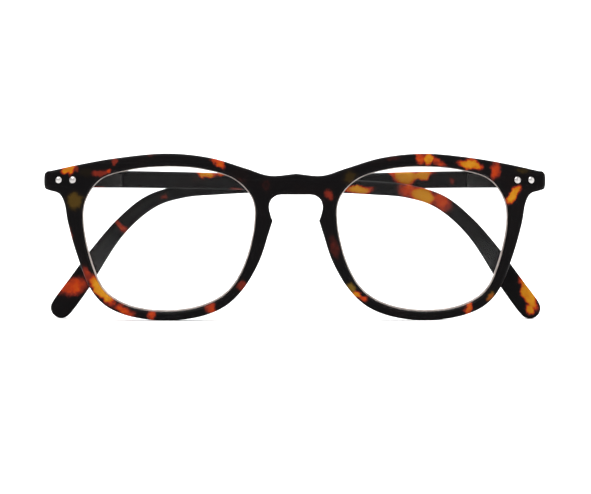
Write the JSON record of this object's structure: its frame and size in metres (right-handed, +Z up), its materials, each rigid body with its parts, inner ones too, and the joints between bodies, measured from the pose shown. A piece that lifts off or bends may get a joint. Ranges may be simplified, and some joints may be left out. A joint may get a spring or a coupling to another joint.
{
  "type": "folding reading glasses",
  "caption": "Full-rim plastic reading glasses with a wrapped front, integral nose rests, clear lenses and riveted spring hinges that let the temples fold behind the front.",
  "frame": {"origin": "on the ground, under the middle of the folded glasses as they stand on their rims and temple tips", "axes": "+X to the wearer's left along the front, -Y is where the front faces, +Z up as worn"},
  "size_m": [0.141, 0.0203, 0.0468],
  "materials": {
    "tortoise": "soft matte, near-black with amber and red-brown patches",
    "lens": "clear, polished",
    "hinge_metal": "satin nickel silver",
    "screw_metal": "bright turned steel",
    "rivet_metal": "satin silver",
    "spring_steel": "drawn wire"
  },
  "bodies": {
    "front": {"front_frame": "tortoise", "left_lens": "lens", "left_hinge_plate": "hinge_metal", "left_hinge_screw": "screw_metal", "left_inner_rivet": "rivet_metal", "left_outer_rivet": "rivet_metal", "right_lens": "lens", "right_hinge_plate": "hinge_metal", "right_hinge_screw": "screw_metal", "right_inner_rivet": "rivet_metal", "right_outer_rivet": "rivet_metal"},
    "right_hinge": {"right_hinge_slider": "hinge_metal", "right_rod_collar": "spring_steel"},
    "right_temple": {"right_temple": "tortoise", "right_spring_housing": "hinge_metal", "right_coil_spring": "spring_steel"},
    "left_hinge": {"left_hinge_slider": "hinge_metal", "left_rod_collar": "spring_steel"},
    "left_temple": {"left_temple": "tortoise", "left_spring_housing": "hinge_metal", "left_coil_spring": "spring_steel"}
  },
  "joints": [
    {"name": "right_fold", "type": "hinge", "parent": "front", "child": "right_hinge", "pos_m": [-0.0643, 0.00187, 0.0393], "axis": [0, 0, 1], "range_deg": [0, 91.3]},
    {"name": "right_spring_slide", "type": "slide", "parent": "right_hinge", "child": "right_temple", "axis": [0.9997, -0.0227, 0], "range_m": [0, 0.0012], "stiffness_N_per_m": 1500, "springref_m": -0.0008, "deforming": ["right_coil_spring"]},
    {"name": "left_fold", "type": "hinge", "parent": "front", "child": "left_hinge", "pos_m": [0.0643, 0.00187, 0.0393], "axis": [0, 0, -1], "range_deg": [0, 88.2]},
    {"name": "left_spring_slide", "type": "slide", "parent": "left_hinge", "child": "left_temple", "axis": [-0.9995, 0.0314, 0], "range_m": [0, 0.0012], "stiffness_N_per_m": 1500, "springref_m": -0.0008, "deforming": ["left_coil_spring"]}
  ]
}
